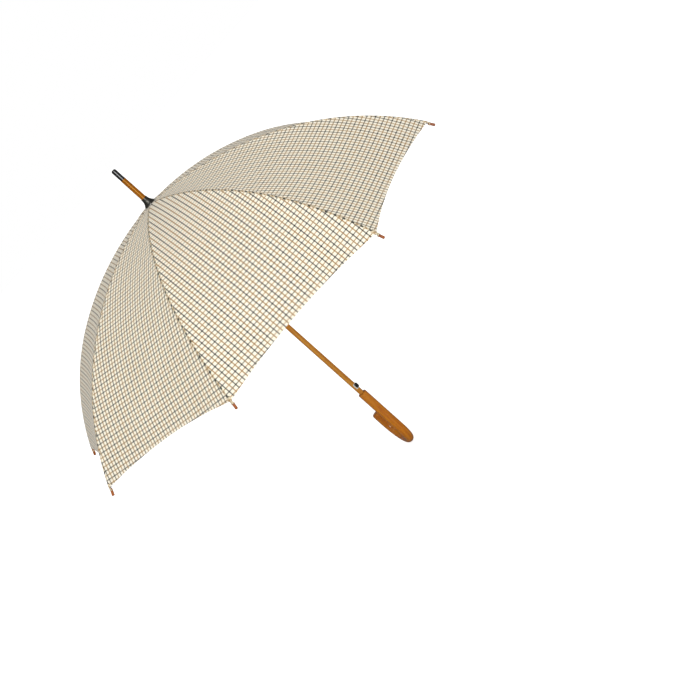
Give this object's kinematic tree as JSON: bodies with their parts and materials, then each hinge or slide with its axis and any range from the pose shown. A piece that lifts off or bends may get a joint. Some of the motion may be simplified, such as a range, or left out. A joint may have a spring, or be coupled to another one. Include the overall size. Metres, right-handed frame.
{
  "type": "stick umbrella",
  "caption": "Stick umbrella with a curved checked cover on eight jointed ribs, a sliding runner, a release button, a wooden ferrule and a crook handle.",
  "frame": {"origin": "on the shaft's axis, at the middle of the straight hand grip", "axes": "+Z along the shaft towards the ferrule, +X from the shaft towards the crook's free leg; the cover is open at rest"},
  "size_m": [0.9896, 0.9896, 0.8733],
  "materials": {
    "shaft_lacquer": "clear lacquer on light wood",
    "spring_steel": "plain",
    "ferrule_wood": "glossy lacquer",
    "ferrule_black": "glossy",
    "cap_metal": "dark gunmetal, satin",
    "washer": "felt",
    "steel": "bright zinc plated",
    "handle_wood": "glossy brown lacquer",
    "chrome_plate": "polished",
    "button_black": "glossy",
    "runner_black": "satin moulded",
    "snap_metal": "polished",
    "tip_wood": "brown lacquer",
    "cover_fabric": "cream poplin with a small slate-green and tan check"
  },
  "bodies": {
    "root": {"shaft": "shaft_lacquer", "opening_spring": "spring_steel", "ferrule_rod": "ferrule_wood", "ferrule_cap": "ferrule_black", "top_cap": "cap_metal", "crown_washer": "washer", "crown_notch": "steel", "crown_pins": "steel", "crook_handle": "handle_wood", "button_plate": "chrome_plate"},
    "button": {"release_button": "button_black"},
    "runner": {"runner": "runner_black", "runner_pins": "steel"},
    "rib_1_inner": {"rib_1_inner": "steel", "canopy_panel_1": "cover_fabric"},
    "rib_1_outer": {"rib_1_outer": "steel", "rib_tip_1": "tip_wood"},
    "stretcher_1": {"stretcher_1": "steel"},
    "rib_2_inner": {"rib_2_inner": "steel", "canopy_panel_2": "cover_fabric"},
    "rib_2_outer": {"rib_2_outer": "steel", "rib_tip_2": "tip_wood"},
    "stretcher_2": {"stretcher_2": "steel"},
    "rib_3_inner": {"rib_3_inner": "steel", "canopy_panel_3": "cover_fabric"},
    "rib_3_outer": {"rib_3_outer": "steel", "rib_tip_3": "tip_wood"},
    "stretcher_3": {"stretcher_3": "steel"},
    "rib_4_inner": {"rib_4_inner": "steel", "canopy_panel_4": "cover_fabric"},
    "rib_4_outer": {"rib_4_outer": "steel", "rib_tip_4": "tip_wood"},
    "stretcher_4": {"stretcher_4": "steel"},
    "rib_5_inner": {"rib_5_inner": "steel", "canopy_panel_5": "cover_fabric"},
    "rib_5_outer": {"rib_5_outer": "steel", "rib_tip_5": "tip_wood"},
    "stretcher_5": {"stretcher_5": "steel"},
    "rib_6_inner": {"rib_6_inner": "steel", "canopy_panel_6": "cover_fabric"},
    "rib_6_outer": {"rib_6_outer": "steel", "rib_tip_6": "tip_wood"},
    "stretcher_6": {"stretcher_6": "steel"},
    "rib_7_inner": {"rib_7_inner": "steel", "canopy_panel_7": "cover_fabric"},
    "rib_7_outer": {"rib_7_outer": "steel", "rib_tip_7": "tip_wood"},
    "stretcher_7": {"stretcher_7": "steel"},
    "rib_8_inner": {"rib_8_inner": "steel", "canopy_panel_8": "cover_fabric"},
    "rib_8_outer": {"rib_8_outer": "steel", "rib_tip_8": "tip_wood", "tie_strap": "cover_fabric", "strap_snap": "snap_metal"},
    "stretcher_8": {"stretcher_8": "steel"}
  },
  "joints": [
    {"name": "rib_1_fold", "type": "hinge", "parent": "root", "child": "rib_1_inner", "pos_m": [0.00906, 0.00286, 0.6566], "axis": [-0.3007, 0.9537, 0], "range_deg": [0, 71.42], "stiffness_Nm_per_rad": 2.5, "springref_deg": -45.84, "deforming": ["canopy_panel_1", "opening_spring"]},
    {"name": "rib_2_fold", "type": "hinge", "parent": "root", "child": "rib_2_inner", "pos_m": [0.00439, 0.00843, 0.6566], "axis": [-0.887, 0.4617, 0], "range_deg": [0, 71.42], "deforming": ["canopy_panel_2"]},
    {"name": "rib_3_fold", "type": "hinge", "parent": "root", "child": "rib_3_inner", "pos_m": [-0.00286, 0.00906, 0.6566], "axis": [-0.9537, -0.3007, 0], "range_deg": [0, 71.42], "deforming": ["canopy_panel_3"]},
    {"name": "rib_4_fold", "type": "hinge", "parent": "root", "child": "rib_4_inner", "pos_m": [-0.00843, 0.00439, 0.6566], "axis": [-0.4617, -0.887, 0], "range_deg": [0, 71.42], "deforming": ["canopy_panel_4"]},
    {"name": "rib_5_fold", "type": "hinge", "parent": "root", "child": "rib_5_inner", "pos_m": [-0.00906, -0.00286, 0.6566], "axis": [0.3007, -0.9537, 0], "range_deg": [0, 71.42], "deforming": ["canopy_panel_5"]},
    {"name": "rib_6_fold", "type": "hinge", "parent": "root", "child": "rib_6_inner", "pos_m": [-0.00439, -0.00843, 0.6566], "axis": [0.887, -0.4617, 0], "range_deg": [0, 71.42], "deforming": ["canopy_panel_6"]},
    {"name": "rib_7_fold", "type": "hinge", "parent": "root", "child": "rib_7_inner", "pos_m": [0.00286, -0.00906, 0.6566], "axis": [0.9537, 0.3007, 0], "range_deg": [0, 71.42], "deforming": ["canopy_panel_7"]},
    {"name": "rib_8_fold", "type": "hinge", "parent": "root", "child": "rib_8_inner", "pos_m": [0.00843, -0.00439, 0.6566], "axis": [0.4617, 0.887, 0], "range_deg": [0, 71.42], "deforming": ["canopy_panel_8", "tie_strap", "strap_snap"]},
    {"name": "rib_1_flex", "type": "hinge", "parent": "rib_1_inner", "child": "rib_1_outer", "pos_m": [0.28463, 0.08974, 0.57375], "axis": [-0.3007, 0.9537, 0], "range_deg": [-23.41, 0]},
    {"name": "rib_2_flex", "type": "hinge", "parent": "rib_2_inner", "child": "rib_2_outer", "pos_m": [0.13781, 0.26473, 0.57375], "axis": [-0.887, 0.4617, 0], "range_deg": [-23.41, 0]},
    {"name": "rib_3_flex", "type": "hinge", "parent": "rib_3_inner", "child": "rib_3_outer", "pos_m": [-0.08974, 0.28463, 0.57375], "axis": [-0.9537, -0.3007, 0], "range_deg": [-23.41, 0]},
    {"name": "rib_4_flex", "type": "hinge", "parent": "rib_4_inner", "child": "rib_4_outer", "pos_m": [-0.26473, 0.13781, 0.57375], "axis": [-0.4617, -0.887, 0], "range_deg": [-23.41, 0]},
    {"name": "rib_5_flex", "type": "hinge", "parent": "rib_5_inner", "child": "rib_5_outer", "pos_m": [-0.28463, -0.08974, 0.57375], "axis": [0.3007, -0.9537, 0], "range_deg": [-23.41, 0]},
    {"name": "rib_6_flex", "type": "hinge", "parent": "rib_6_inner", "child": "rib_6_outer", "pos_m": [-0.13781, -0.26473, 0.57375], "axis": [0.887, -0.4617, 0], "range_deg": [-23.41, 0]},
    {"name": "rib_7_flex", "type": "hinge", "parent": "rib_7_inner", "child": "rib_7_outer", "pos_m": [0.08974, -0.28463, 0.57375], "axis": [0.9537, 0.3007, 0], "range_deg": [-23.41, 0]},
    {"name": "rib_8_flex", "type": "hinge", "parent": "rib_8_inner", "child": "rib_8_outer", "pos_m": [0.26473, -0.13781, 0.57375], "axis": [0.4617, 0.887, 0], "range_deg": [-23.41, 0]},
    {"name": "stretcher_1_swing", "type": "hinge", "parent": "rib_1_inner", "child": "stretcher_1", "pos_m": [0.25601, 0.08072, 0.58051], "axis": [-0.3007, 0.9537, 0], "range_deg": [-142.95, 0]},
    {"name": "stretcher_2_swing", "type": "hinge", "parent": "rib_2_inner", "child": "stretcher_2", "pos_m": [0.12395, 0.2381, 0.58051], "axis": [-0.887, 0.4617, 0], "range_deg": [-142.95, 0]},
    {"name": "stretcher_3_swing", "type": "hinge", "parent": "rib_3_inner", "child": "stretcher_3", "pos_m": [-0.08072, 0.25601, 0.58051], "axis": [-0.9537, -0.3007, 0], "range_deg": [-142.95, 0]},
    {"name": "stretcher_4_swing", "type": "hinge", "parent": "rib_4_inner", "child": "stretcher_4", "pos_m": [-0.2381, 0.12395, 0.58051], "axis": [-0.4617, -0.887, 0], "range_deg": [-142.95, 0]},
    {"name": "stretcher_5_swing", "type": "hinge", "parent": "rib_5_inner", "child": "stretcher_5", "pos_m": [-0.25601, -0.08072, 0.58051], "axis": [0.3007, -0.9537, 0], "range_deg": [-142.95, 0]},
    {"name": "stretcher_6_swing", "type": "hinge", "parent": "rib_6_inner", "child": "stretcher_6", "pos_m": [-0.12395, -0.2381, 0.58051], "axis": [0.887, -0.4617, 0], "range_deg": [-142.95, 0]},
    {"name": "stretcher_7_swing", "type": "hinge", "parent": "rib_7_inner", "child": "stretcher_7", "pos_m": [0.08072, -0.25601, 0.58051], "axis": [0.9537, 0.3007, 0], "range_deg": [-142.95, 0]},
    {"name": "stretcher_8_swing", "type": "hinge", "parent": "rib_8_inner", "child": "stretcher_8", "pos_m": [0.2381, -0.12395, 0.58051], "axis": [0.4617, 0.887, 0], "range_deg": [-142.95, 0]},
    {"name": "runner_slide", "type": "hinge", "parent": "stretcher_1", "child": "runner", "pos_m": [0.00906, 0.00286, 0.50443], "axis": [-0.3007, 0.9537, 0], "range_deg": [0, 71.53]},
    {"name": "button_press", "type": "slide", "parent": "root", "child": "button", "axis": [0.788, 0.6157, 0], "range_m": [0, 0.002], "stiffness_N_per_m": 400, "springref_m": -0.002}
  ],
  "couplings": [
    {"joint": "rib_2_fold", "follows": "rib_1_fold", "ratio": 1},
    {"joint": "rib_3_fold", "follows": "rib_1_fold", "ratio": 1},
    {"joint": "rib_4_fold", "follows": "rib_1_fold", "ratio": 1},
    {"joint": "rib_5_fold", "follows": "rib_1_fold", "ratio": 1},
    {"joint": "rib_6_fold", "follows": "rib_1_fold", "ratio": 1},
    {"joint": "rib_7_fold", "follows": "rib_1_fold", "ratio": 1},
    {"joint": "rib_8_fold", "follows": "rib_1_fold", "ratio": 1},
    {"joint": "rib_1_flex", "follows": "rib_1_fold", "ratio": -0.32704},
    {"joint": "rib_2_flex", "follows": "rib_1_fold", "ratio": -0.32704},
    {"joint": "rib_3_flex", "follows": "rib_1_fold", "ratio": -0.32704},
    {"joint": "rib_4_flex", "follows": "rib_1_fold", "ratio": -0.32704},
    {"joint": "rib_5_flex", "follows": "rib_1_fold", "ratio": -0.32704},
    {"joint": "rib_6_flex", "follows": "rib_1_fold", "ratio": -0.32704},
    {"joint": "rib_7_flex", "follows": "rib_1_fold", "ratio": -0.32704},
    {"joint": "rib_8_flex", "follows": "rib_1_fold", "ratio": -0.32704},
    {"joint": "stretcher_1_swing", "follows": "rib_1_fold", "ratio": -2},
    {"joint": "stretcher_2_swing", "follows": "rib_1_fold", "ratio": -2},
    {"joint": "stretcher_3_swing", "follows": "rib_1_fold", "ratio": -2},
    {"joint": "stretcher_4_swing", "follows": "rib_1_fold", "ratio": -2},
    {"joint": "stretcher_5_swing", "follows": "rib_1_fold", "ratio": -2},
    {"joint": "stretcher_6_swing", "follows": "rib_1_fold", "ratio": -2},
    {"joint": "stretcher_7_swing", "follows": "rib_1_fold", "ratio": -2},
    {"joint": "stretcher_8_swing", "follows": "rib_1_fold", "ratio": -2},
    {"joint": "runner_slide", "follows": "rib_1_fold", "ratio": 1}
  ]
}
